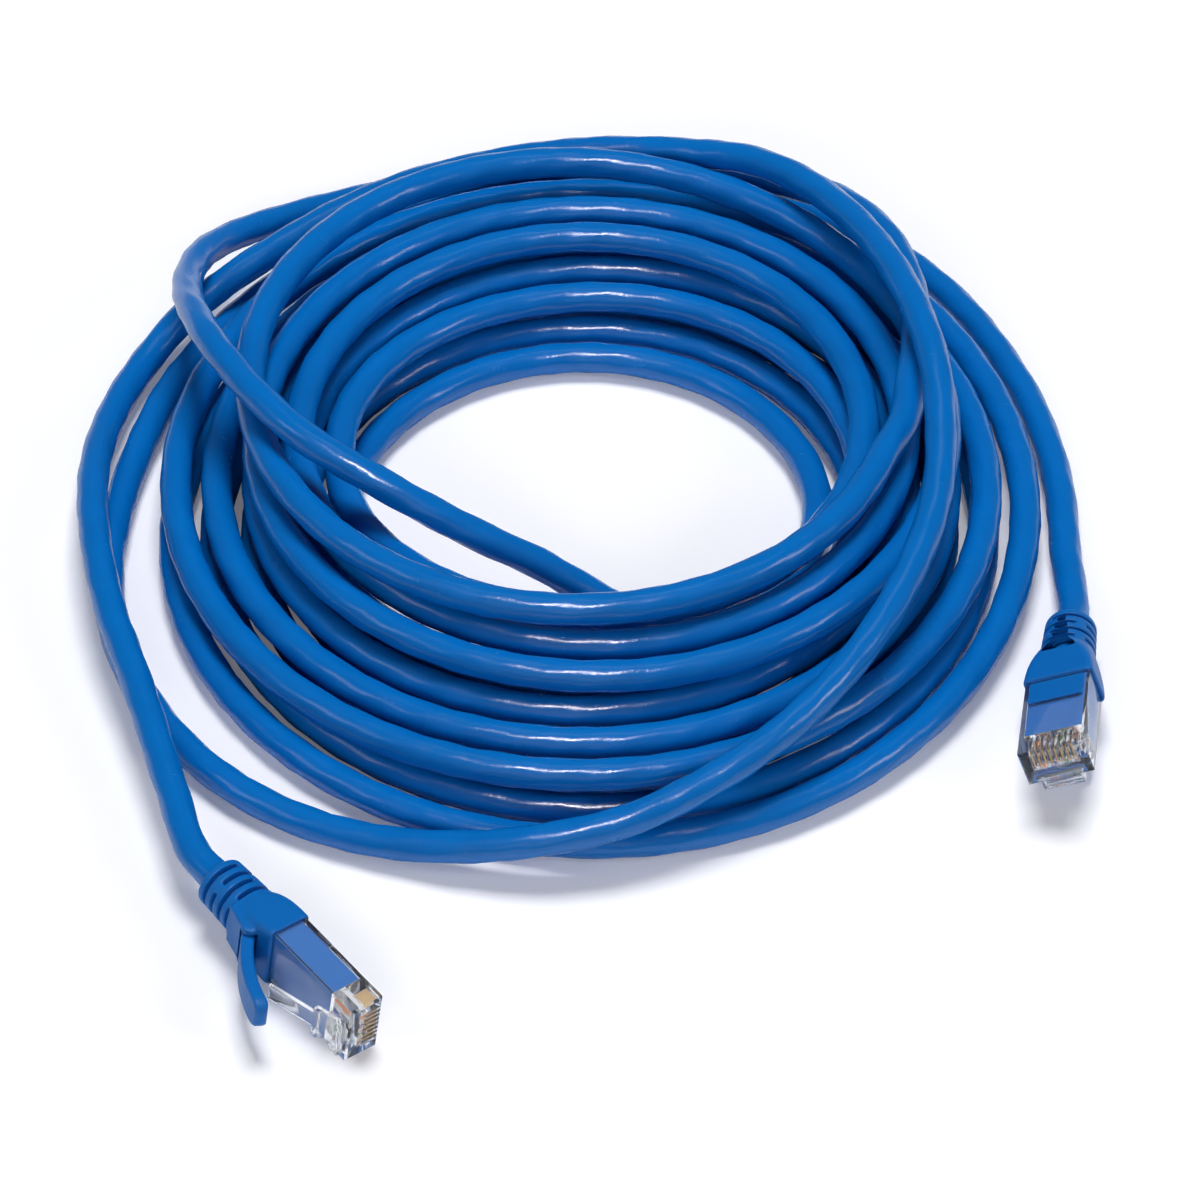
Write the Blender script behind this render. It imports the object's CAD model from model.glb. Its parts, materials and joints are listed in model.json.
"""Looks of a coiled ethernet patch cable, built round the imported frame.

About six metres of round blue cord lie in a loose coil between two clear modular
plugs, each with a moulded boot, a curved latch guard and eight gold blades.

The cord and everything in the scene are in metres in the row's frame. The sizes of
the coil and of the plugs are written in millimetres. A plug is built in its own
frame: nose at X = 0, cord towards -X, latch face on Z = 0, contact face at Z = 6.6.
"""

from __future__ import annotations

import json
import logging
import math
from collections.abc import Callable, Sequence
from dataclasses import dataclass, field
from enum import Enum

import bmesh
import bpy
import numpy as np
from mathutils import Euler, Matrix, Vector

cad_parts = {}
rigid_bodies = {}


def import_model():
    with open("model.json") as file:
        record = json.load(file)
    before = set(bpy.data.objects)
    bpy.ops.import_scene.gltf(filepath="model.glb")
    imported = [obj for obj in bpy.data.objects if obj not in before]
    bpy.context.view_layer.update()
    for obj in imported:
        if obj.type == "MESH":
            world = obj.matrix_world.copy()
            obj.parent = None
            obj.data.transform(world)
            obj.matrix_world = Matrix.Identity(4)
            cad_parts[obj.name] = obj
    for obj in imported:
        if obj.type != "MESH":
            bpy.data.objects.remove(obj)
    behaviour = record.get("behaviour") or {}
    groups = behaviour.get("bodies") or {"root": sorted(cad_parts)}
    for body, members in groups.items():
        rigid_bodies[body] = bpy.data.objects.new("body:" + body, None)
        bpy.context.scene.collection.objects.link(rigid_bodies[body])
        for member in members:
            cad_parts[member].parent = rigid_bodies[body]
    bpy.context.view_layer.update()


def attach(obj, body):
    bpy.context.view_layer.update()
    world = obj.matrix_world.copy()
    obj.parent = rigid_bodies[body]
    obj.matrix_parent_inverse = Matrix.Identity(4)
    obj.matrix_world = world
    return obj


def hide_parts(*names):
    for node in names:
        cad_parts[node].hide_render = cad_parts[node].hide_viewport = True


LOG = logging.getLogger("patch_cable")
MM = 0.001

PLASTIC = "moulded_plastic"
ROW = "row_across"

Colour = tuple[float, float, float]
Point = tuple[float, float, float]
Spot = tuple[float, float]
Span = tuple[float, float]
Array = np.ndarray
Field = Callable[[Array], Array]
Socket = bpy.types.NodeSocket
Material = bpy.types.Material
Piece = bpy.types.Object
Tree = bpy.types.NodeTree
Node = bpy.types.Node


class End(Enum):
    """The two plugs: A at the coil's top end, B at its lowest end."""

    A = "a"
    B = "b"


class Pair(Enum):
    """The four twisted pairs, by the colour of their solid wire."""

    ORANGE = (0.86, 0.27, 0.03)
    GREEN = (0.03, 0.26, 0.07)
    BLUE = (0.02, 0.08, 0.45)
    BROWN = (0.16, 0.06, 0.025)


# ---- distances to solids, from which the moulded pieces are skinned -----------------


def smooth_min(a: Array, b: Array, blend: float) -> Array:
    """Union of two distance fields with a fillet.

    Args:
        a: Distances to the first solid.
        b: Distances to the second solid.
        blend: Size of the fillet, in the fields' unit.

    Returns:
        Distances to the union.
    """
    share = np.maximum(blend - np.abs(a - b), 0) / blend
    return np.minimum(a, b) - share * share * blend / 4


def smooth_max(a: Array, b: Array, blend: float) -> Array:
    """Intersection of two distance fields with a rounded edge."""
    return -smooth_min(-a, -b, blend)


def rounded_rectangle(
    u: Array, v: Array, half_u: Array, half_v: Array, radius: Array
) -> Array:
    """Distance in a plane to a rectangle with round corners.

    Args:
        u: First coordinate from the middle.
        v: Second coordinate from the middle.
        half_u: Half of the width.
        half_v: Half of the height.
        radius: Radius of the corners.

    Returns:
        Distances, negative inside.
    """
    du = np.abs(u) - (half_u - radius)
    dv = np.abs(v) - (half_v - radius)
    outside = np.hypot(np.maximum(du, 0), np.maximum(dv, 0))
    return outside + np.minimum(np.maximum(du, dv), 0) - radius


def box_field(p: Array, x: Span, half_y: float, z: Span, radius: float = 0.0) -> Array:
    """Distance to a box with rounded edges, centred on Y = 0.

    Args:
        p: Points, with X, Y and Z last.
        x: The box's ends along X.
        half_y: Half of its width.
        z: Its ends along Z.
        radius: Radius of the edges.

    Returns:
        Distances, negative inside.
    """
    low, high = np.array([x[0], -half_y, z[0]]), np.array([x[1], half_y, z[1]])
    d = np.abs(p - (low + high) / 2) - ((high - low) / 2 - radius)
    outside = np.linalg.norm(np.maximum(d, 0), axis=-1)
    return outside + np.minimum(d.max(axis=-1), 0) - radius


def rod_x(p: Array, x0: float, x1: float, y: float, z: float, radius: float) -> Array:
    """Distance to a round bar along X from x0 to x1."""
    across = np.hypot(p[..., 1] - y, p[..., 2] - z) - radius
    return np.maximum(across, np.abs(p[..., 0] - (x0 + x1) / 2) - (x1 - x0) / 2)


def rod_y(p: Array, x: float, z: float, radius: float, half: float, edge: float) -> Array:
    """Distance to a round bar along Y, centred on Y = 0, with rounded ends."""
    across = np.hypot(p[..., 0] - x, p[..., 2] - z) - radius
    return smooth_max(across, np.abs(p[..., 1]) - half, edge)


def from_segment(x: Array, z: Array, start: Spot, end: Spot) -> tuple[Array, Array]:
    """Steps in X and Z to each point from the nearest place of a straight stretch."""
    ex, ez = end[0] - start[0], end[1] - start[1]
    wx, wz = x - start[0], z - start[1]
    t = np.clip((wx * ex + wz * ez) / (ex * ex + ez * ez), 0, 1)
    return wx - t * ex, wz - t * ez


def outline_field(x: Array, z: Array, outline: Sequence[Spot]) -> Array:
    """Distance in the XZ plane to a closed outline.

    Args:
        x: First coordinate.
        z: Second coordinate.
        outline: Corners of the outline, in order.

    Returns:
        Distances, negative inside.
    """
    best = np.full(x.shape, np.inf)
    sign = np.ones(x.shape)
    for start, end in zip(outline, [outline[-1], *outline[:-1]], strict=True):
        dx, dz = from_segment(x, z, start, end)
        best = np.minimum(best, dx**2 + dz**2)
        above, below = z >= start[1], z < end[1]
        left = (end[0] - start[0]) * (z - start[1]) > (end[1] - start[1]) * (x - start[0])
        sign = np.where((above & below & left) | (~above & ~below & ~left), -sign, sign)
    return sign * np.sqrt(best)


def skin(shape: Field, low: Point, high: Point, cell: float) -> tuple[Array, Array]:
    """Skins a distance field with quads, one corner in each cell that the surface crosses.

    Args:
        shape: The distance field.
        low: Lowest corner of the space to skin.
        high: Highest corner of that space.
        cell: Width of a cell.

    Returns:
        The corners, and the quads as rows of four corner numbers.
    """
    axes = [np.arange(a, b + cell, cell) for a, b in zip(low, high, strict=True)]
    grid = np.stack(np.meshgrid(*axes, indexing="ij"), axis=-1)
    value = shape(grid)
    inside = value < 0
    nx, ny, nz = (n - 1 for n in value.shape)
    corners = [(i, j, k) for i in (0, 1) for j in (0, 1) for k in (0, 1)]

    def at_corner(a: Array, c: tuple[int, int, int]) -> Array:
        return a[c[0] : c[0] + nx, c[1] : c[1] + ny, c[2] : c[2] + nz]

    count = sum(at_corner(inside, c).astype(int) for c in corners)
    active = (count > 0) & (count < len(corners))
    number = np.full(active.shape, -1)
    number[active] = np.arange(active.sum())
    base = at_corner(grid, (0, 0, 0))[active]
    total, hits = np.zeros_like(base), np.zeros(len(base))
    for c in corners:
        for axis in range(3):
            if c[axis]:
                continue
            far = tuple(v + (n == axis) for n, v in enumerate(c))
            a, b = at_corner(value, c)[active], at_corner(value, far)[active]
            crossed = (a < 0) != (b < 0)
            share = np.where(crossed, a / np.where(crossed, a - b, 1), 0)
            place = base + np.array(c) * cell
            place[:, axis] += share * cell
            total += np.where(crossed[:, None], place, 0)
            hits += crossed
    points = settle(shape, total / hits[:, None], cell)
    quads = [quads_across(inside, number, axis) for axis in range(3)]
    return points, np.concatenate(quads)


def settle(shape: Field, points: Array, cell: float) -> Array:
    """Moves points on to the surface of a distance field, by less than half a cell."""
    step = cell / 50
    start = points.copy()
    for _ in range(3):
        slope = np.stack(
            [(shape(points + step * e) - shape(points - step * e)) / (2 * step) for e in np.eye(3)],
            axis=-1,
        )
        steep = np.maximum((slope * slope).sum(axis=-1), 0.2)
        points = points - (shape(points) / steep)[:, None] * slope
        points = start + np.clip(points - start, -cell / 2, cell / 2)
    return points


def quads_across(inside: Array, number: Array, axis: int) -> Array:
    """Quads round the grid's edges along one axis that cross the surface.

    Args:
        inside: Whether each grid point is inside.
        number: The corner number of each cell, or -1.
        axis: The edges' direction.

    Returns:
        Rows of four corner numbers that wind outwards.
    """
    b, c = (axis + 1) % 3, (axis + 2) % 3
    near = np.take(inside, range(inside.shape[axis] - 1), axis=axis)
    far = np.take(inside, range(1, inside.shape[axis]), axis=axis)
    where = np.argwhere(near != far)
    where = where[(where[:, b] > 0) & (where[:, c] > 0)]
    where = where[(where[:, b] < number.shape[b]) & (where[:, c] < number.shape[c])]
    step_b, step_c = np.eye(3, dtype=int)[b], np.eye(3, dtype=int)[c]
    ring = [where, where - step_b, where - step_b - step_c, where - step_c]
    quads = np.stack([number[tuple(r.T)] for r in ring], axis=1)
    outwards = near[tuple(where.T)]
    return np.where(outwards[:, None], quads, quads[:, ::-1])


# ---- meshes -------------------------------------------------------------------------


def new_object(name: str, data: bpy.types.ID) -> Piece:
    """Puts a mesh, curve, lamp or camera in the scene as an object at the origin."""
    piece = bpy.data.objects.new(name, data)
    bpy.context.scene.collection.objects.link(piece)
    return piece


def mesh_from(name: str, points: Array, faces: Sequence[Sequence[int]]) -> bpy.types.Mesh:
    """Makes a smooth mesh from corners and faces."""
    mesh = bpy.data.meshes.new(name)
    mesh.from_pydata([tuple(p) for p in points], [], [tuple(int(i) for i in f) for f in faces])
    mesh.update()
    mesh.shade_smooth()
    return mesh


def settled_copy(source: Piece, name: str) -> Piece:
    """Replaces an object that has modifiers by a plain mesh of what they make.

    Args:
        source: The object with live modifiers. It is removed.
        name: Name of the plain piece.

    Returns:
        The plain piece.
    """
    bpy.context.view_layer.update()
    shown = source.evaluated_get(bpy.context.evaluated_depsgraph_get())
    mesh = bpy.data.meshes.new_from_object(shown)
    bpy.data.objects.remove(source)
    mesh.name = name
    return new_object(name, mesh)


# ---- node trees ---------------------------------------------------------------------


@dataclass
class Sheet:
    """Adds nodes to a node tree and joins them."""

    tree: Tree

    def feed(self, node: Node, **inputs: object) -> Node:
        """Sets or joins a node's inputs.

        Args:
            node: The node.
            **inputs: Sockets by name, with spaces as underscores, and a value or an
                output socket for each. A name such as i0 names a socket by its place.

        Returns:
            The node.
        """
        for key, value in inputs.items():
            by_place = key[0] == "i" and key[1:].isdigit()
            socket = node.inputs[int(key[1:])] if by_place else node.inputs[key.replace("_", " ")]
            if isinstance(value, Socket):
                self.tree.links.new(value, socket)
            else:
                socket.default_value = value
        return node

    def add(self, kind: str, settings: dict | None = None, **inputs: object) -> Node:
        """Adds a node.

        Args:
            kind: Blender's name for the node's type.
            settings: Values of the node's own properties.
            **inputs: Its inputs, as in feed.

        Returns:
            The new node.
        """
        node = self.tree.nodes.new(kind)
        for key, value in (settings or {}).items():
            setattr(node, key, value)
        return self.feed(node, **inputs)

    def math(self, operation: str, *values: object) -> Socket:
        """Adds a Math node and gives its output."""
        inputs = {f"i{n}": v for n, v in enumerate(values)}
        return self.add("ShaderNodeMath", {"operation": operation}, **inputs).outputs[0]

    def times(self, a: object, b: object) -> Socket:
        """Product of two values or sockets."""
        return self.math("MULTIPLY", a, b)

    def plus(self, a: object, b: object) -> Socket:
        """Sum of two values or sockets."""
        return self.math("ADD", a, b)

    def noise(self, place: Socket, scale: object, detail: float, **more: object) -> Socket:
        """Adds a noise texture, in four dimensions where W is among the other inputs."""
        settings = {"noise_dimensions": "4D"} if "W" in more else None
        return self.add(
            "ShaderNodeTexNoise", settings, Vector=place, Scale=scale, Detail=detail, **more
        ).outputs[0]

    def blend(self, share: Socket, first: Colour | Socket, second: Colour | Socket) -> Socket:
        """Adds a mix of two colours and gives its result."""
        a, b = (c if isinstance(c, Socket) else (*c, 1.0) for c in (first, second))
        mix = self.add("ShaderNodeMix", {"data_type": "RGBA"}, Factor=share, A=a, B=b)
        return mix.outputs["Result"]

    def span(self, value: Socket, given: Span, wanted: Span) -> Socket:
        """Maps a value from one range to another and keeps it inside."""
        low, high = given
        first, last = wanted
        return self.add("ShaderNodeMapRange", i0=value, i1=low, i2=high, i3=first, i4=last).outputs[0]

    def relief(self, height: Socket, strength: float, depth: float) -> Socket:
        """Adds a Bump node and gives its normal."""
        return self.add("ShaderNodeBump", Strength=strength, Distance=depth, Height=height).outputs[0]

    def finish_geometry(self, shape: Socket, material: Socket) -> None:
        """Turns a shape's copies into real mesh, gives it a material and puts it out."""
        real = self.add("GeometryNodeRealizeInstances", Geometry=shape).outputs[0]
        done = self.add("GeometryNodeSetMaterial", Geometry=real, Material=material)
        self.add("NodeGroupOutput", Geometry=done.outputs[0])


def new_group(kind: str, name: str, inputs: dict[str, str], outputs: dict[str, str]) -> Sheet:
    """Makes a node group with named sockets.

    Args:
        kind: ShaderNodeTree or GeometryNodeTree.
        name: Name of the group.
        inputs: Socket type of each input, by name.
        outputs: Socket type of each output, by name.

    Returns:
        The group as a sheet to add nodes to.
    """
    tree = bpy.data.node_groups.new(name, kind)
    for direction, sockets in (("INPUT", inputs), ("OUTPUT", outputs)):
        for socket, type_name in sockets.items():
            tree.interface.new_socket(socket, in_out=direction, socket_type=f"NodeSocket{type_name}")
    return Sheet(tree)


def moulded_group() -> None:
    """Makes the shader group for moulded and extruded plastic: tint, gloss and relief.

    Its Variation darkens and lightens the colour in soft patches, its Grain Scale sets
    how fine the relief is, and its Handling makes the gloss uneven.
    """
    sheet = new_group(
        "ShaderNodeTree",
        PLASTIC,
        {
            "Vector": "Vector",
            "Color": "Color",
            "Variation": "Float",
            "Grain Scale": "Float",
            "Roughness": "Float",
            "Handling": "Float",
        },
        {"Color": "Color", "Roughness": "Float", "Height": "Float"},
    )
    given = sheet.add("NodeGroupInput").outputs
    place, fineness = given["Vector"], given["Grain Scale"]
    patches = sheet.noise(place, scale=90.0, detail=3.0, Roughness=0.55)
    smears = sheet.noise(place, scale=260.0, detail=4.0, Roughness=0.6)
    grain = sheet.noise(place, scale=fineness, detail=2.0)
    pore_scale, pore_share = sheet.times(fineness, 0.6), 0.35
    pores = sheet.add("ShaderNodeTexVoronoi", Vector=place, Scale=pore_scale).outputs["Distance"]
    shift = sheet.times(sheet.math("SUBTRACT", patches, 0.5), given["Variation"])
    tint = sheet.add(
        "ShaderNodeHueSaturation",
        Color=given["Color"],
        Hue=0.5,
        Saturation=1.0,
        Value=sheet.plus(1.0, shift),
    ).outputs[0]
    worn = sheet.times(sheet.math("SUBTRACT", smears, 0.45), given["Handling"])
    gloss = sheet.plus(given["Roughness"], worn)
    height = sheet.plus(grain, sheet.times(pores, pore_share))
    sheet.add("NodeGroupOutput", Color=tint, Roughness=gloss, Height=height)


# ---- finishes -----------------------------------------------------------------------


def new_surface(name: str) -> tuple[Material, Sheet, Node]:
    """Makes a material.

    Args:
        name: Its name.

    Returns:
        The material, its nodes as a sheet, and its Principled BSDF.
    """
    material = bpy.data.materials.new(name)
    material.use_nodes = True
    sheet = Sheet(material.node_tree)
    return material, sheet, sheet.tree.nodes["Principled BSDF"]


@dataclass(frozen=True)
class Finish:
    """What every finish has: a name, the record's slot, a colour and a roughness."""

    name: str
    slot: str
    colour: Colour
    roughness: float

    def material(self) -> Material:
        """Builds the material. Each kind of finish has its own."""
        raise NotImplementedError


@dataclass(frozen=True)
class Moulded(Finish):
    """Coloured plastic or rubber with a fine grain and slightly uneven gloss."""

    variation: float = 0.12
    handling: float = 0.15
    grain_scale: float = 2600.0
    grain_depth: float = 0.00001
    grain_strength: float = 1.0
    specular: float = 0.5
    coat: float = 0.0
    coat_roughness: float = 0.1
    along_cord: bool = False

    def tinted(self, sheet: Sheet, where: Socket, colour: Socket) -> Socket:
        """The colour to use at each place: here the plastic's own.

        Args:
            sheet: The material's nodes.
            where: Places in Object coordinates.
            colour: The plastic's own colour.

        Returns:
            The colour.
        """
        return colour

    def material(self) -> Material:
        """Builds the material.

        Returns:
            A material on Object coordinates, or on the straightened cord's own.
        """
        material, sheet, shader = new_surface(self.name)
        if self.along_cord:
            straight = {"attribute_name": Cord.STRAIGHT}
            where = sheet.add("ShaderNodeAttribute", straight).outputs["Vector"]
        else:
            where = sheet.add("ShaderNodeTexCoord").outputs["Object"]
        plastic = sheet.add(
            "ShaderNodeGroup",
            {"node_tree": bpy.data.node_groups[PLASTIC]},
            Vector=where,
            Color=(*self.colour, 1.0),
            Variation=self.variation,
            Grain_Scale=self.grain_scale,
            Roughness=self.roughness,
            Handling=self.handling,
        ).outputs
        sheet.feed(
            shader,
            Base_Color=self.tinted(sheet, where, plastic["Color"]),
            Roughness=plastic["Roughness"],
            Normal=sheet.relief(plastic["Height"], self.grain_strength, self.grain_depth),
            Specular_IOR_Level=self.specular,
            Coat_Weight=self.coat,
            Coat_Roughness=self.coat_roughness,
        )
        return material


@dataclass(frozen=True)
class Clear(Finish):
    """Clear plastic that light passes straight through, with faint flow lines."""

    ior: float = 1.34
    clearness: float = 0.98
    flow_scale: float = 420.0
    flow_depth: float = 0.000004
    flow_strength: float = 0.6
    haze_scale: float = 900.0
    haze_tint: float = 0.96
    haze_gloss: float = 0.04
    film: Colour = (0.975, 0.98, 0.99)

    def material(self) -> Material:
        """Builds the material.

        Returns:
            Glass for what is seen, and a pale film for lamplight and scattered light.
        """
        material, sheet, shader = new_surface(self.name)
        where = sheet.add("ShaderNodeTexCoord").outputs["Object"]
        flow = sheet.noise(where, scale=self.flow_scale, detail=2.0)
        haze = sheet.noise(where, scale=self.haze_scale, detail=3.0)
        dimmer = tuple(self.haze_tint * c for c in self.colour)
        sheet.feed(
            shader,
            Base_Color=sheet.blend(haze, self.colour, dimmer),
            Roughness=sheet.plus(self.roughness, sheet.times(haze, self.haze_gloss)),
            Normal=sheet.relief(flow, self.flow_strength, self.flow_depth),
            Transmission_Weight=self.clearness,
            IOR=self.ior,
        )
        film = sheet.add("ShaderNodeBsdfTransparent", Color=(*self.film, 1.0))
        path = sheet.add("ShaderNodeLightPath").outputs
        unseen = sheet.math("MAXIMUM", path["Is Shadow Ray"], path["Is Diffuse Ray"])
        mix = sheet.add("ShaderNodeMixShader", i0=unseen, i1=shader.outputs[0], i2=film.outputs[0])
        sheet.feed(sheet.tree.nodes["Material Output"], Surface=mix.outputs[0])
        return material


@dataclass(frozen=True)
class Metal(Finish):
    """Plated or bare metal with fine brush marks and a patchy tarnish."""

    tarnish: Colour = (0.3, 0.2, 0.1)
    tarnish_share: float = 0.35
    brush_scale: Point = (900.0, 900.0, 7000.0)
    brush_depth: float = 0.000004
    brush_strength: float = 0.5
    patch_scale: float = 700.0
    patch_gloss: float = 0.2

    def material(self) -> Material:
        """Builds the material.

        Returns:
            Metal that is duller where it is tarnished.
        """
        material, sheet, shader = new_surface(self.name)
        where = sheet.add("ShaderNodeTexCoord").outputs["Object"]
        brushed = sheet.add("ShaderNodeMapping", Vector=where, Scale=self.brush_scale).outputs[0]
        marks = sheet.noise(brushed, scale=1.0, detail=3.0)
        patches = sheet.noise(where, scale=self.patch_scale, detail=3.0)
        share = sheet.times(patches, self.tarnish_share)
        sheet.feed(
            shader,
            Base_Color=sheet.blend(share, self.colour, self.tarnish),
            Roughness=sheet.plus(self.roughness, sheet.times(patches, self.patch_gloss)),
            Normal=sheet.relief(marks, self.brush_strength, self.brush_depth),
            Metallic=1.0,
        )
        return material


@dataclass(frozen=True)
class Insulation(Moulded):
    """Insulation of the row of wires: every second wire is white."""

    variation: float = 0.1
    handling: float = 0.1
    grain_scale: float = 5000.0
    grain_depth: float = 0.000005
    grain_strength: float = 0.5
    place: Matrix = field(default_factory=Matrix)
    wires: int = 8
    pitch: float = 1.02
    white: Colour = (0.78, 0.79, 0.8)

    def tinted(self, sheet: Sheet, where: Socket, colour: Socket) -> Socket:
        """White on every second wire, counted along the plug's own Y axis."""
        local = sheet.add(
            "ShaderNodeMapping",
            {"vector_type": "TEXTURE"},
            Vector=where,
            Location=self.place.translation,
            Rotation=self.place.to_euler("XYZ"),
        )
        across = sheet.add("ShaderNodeSeparateXYZ", Vector=local.outputs[0]).outputs["Y"]
        wire = sheet.plus(sheet.math("DIVIDE", across, self.pitch * MM), self.wires / 2)
        odd = sheet.math("FLOORED_MODULO", wire, 2.0)
        return sheet.blend(sheet.math("GREATER_THAN", odd, 1.0), self.white, colour)


JACKET = Moulded(
    "jacket_blue",
    "cord_jacket",
    (0.0006, 0.148, 0.51),
    0.22,
    variation=0.2,
    handling=0.22,
    grain_scale=1500.0,
    grain_depth=0.00003,
    specular=0.4,
    along_cord=True,
)
BOOT = Moulded(
    "boot_blue",
    "boot_rubber",
    (0.002, 0.135, 0.47),
    0.44,
    variation=0.1,
    handling=0.12,
    grain_scale=3200.0,
    grain_depth=0.000012,
    specular=0.28,
)
STUB = Moulded("jacket_end_blue", "cord_jacket", (0.002, 0.14, 0.5), 0.4)
CLEAR = Clear("clear_polycarbonate", "clear_plastic", (0.97, 0.985, 1.0), 0.02)
MILKY = Moulded("milky_bar", "milky_plastic", (0.72, 0.75, 0.78), 0.3, coat=0.4)
GOLD = Metal("gold_plate", "gold_contact", (0.66, 0.46, 0.23), 0.34)
COPPER = Metal("bare_copper", "copper", (0.82, 0.42, 0.24), 0.3)
SEPARATOR = Moulded("separator_white", "separator_white", (0.78, 0.79, 0.8), 0.45)


# ---- cord ---------------------------------------------------------------------------


def ease(u: float) -> float:
    """Smooth step from 0 to 1."""
    u = min(max(u, 0.0), 1.0)
    return u * u * (3 - 2 * u)


def curve_through(points: Array, step: float) -> Array:
    """A smooth curve through points, resampled evenly.

    Args:
        points: Points that the curve passes, in order.
        step: Distance between the samples.

    Returns:
        Samples along the curve.
    """
    t = np.concatenate([[0], np.cumsum(np.linalg.norm(np.diff(points, axis=0), axis=1))])
    slope = np.diff(points, axis=0) / np.diff(t)[:, None]
    before, after = np.diff(t)[:-1, None], np.diff(t)[1:, None]
    middle = (slope[:-1] * after + slope[1:] * before) / (before + after)
    tangent = np.concatenate([slope[:1], middle, slope[-1:]])
    fine = np.linspace(0, t[-1], int(t[-1] / step * 4))
    i = np.clip(np.searchsorted(t, fine, side="right") - 1, 0, len(t) - 2)
    span = (t[i + 1] - t[i])[:, None]
    u = (fine - t[i])[:, None] / span
    curve = (
        (2 * u**3 - 3 * u**2 + 1) * points[i]
        + (u**3 - 2 * u**2 + u) * span * tangent[i]
        + (3 * u**2 - 2 * u**3) * points[i + 1]
        + (u**3 - u**2) * span * tangent[i + 1]
    )
    along = np.concatenate([[0], np.cumsum(np.linalg.norm(np.diff(curve, axis=0), axis=1))])
    even = np.linspace(0, along[-1], round(along[-1] / step) + 1)
    return np.stack([np.interp(even, along, curve[:, k]) for k in range(3)], axis=1)


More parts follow.
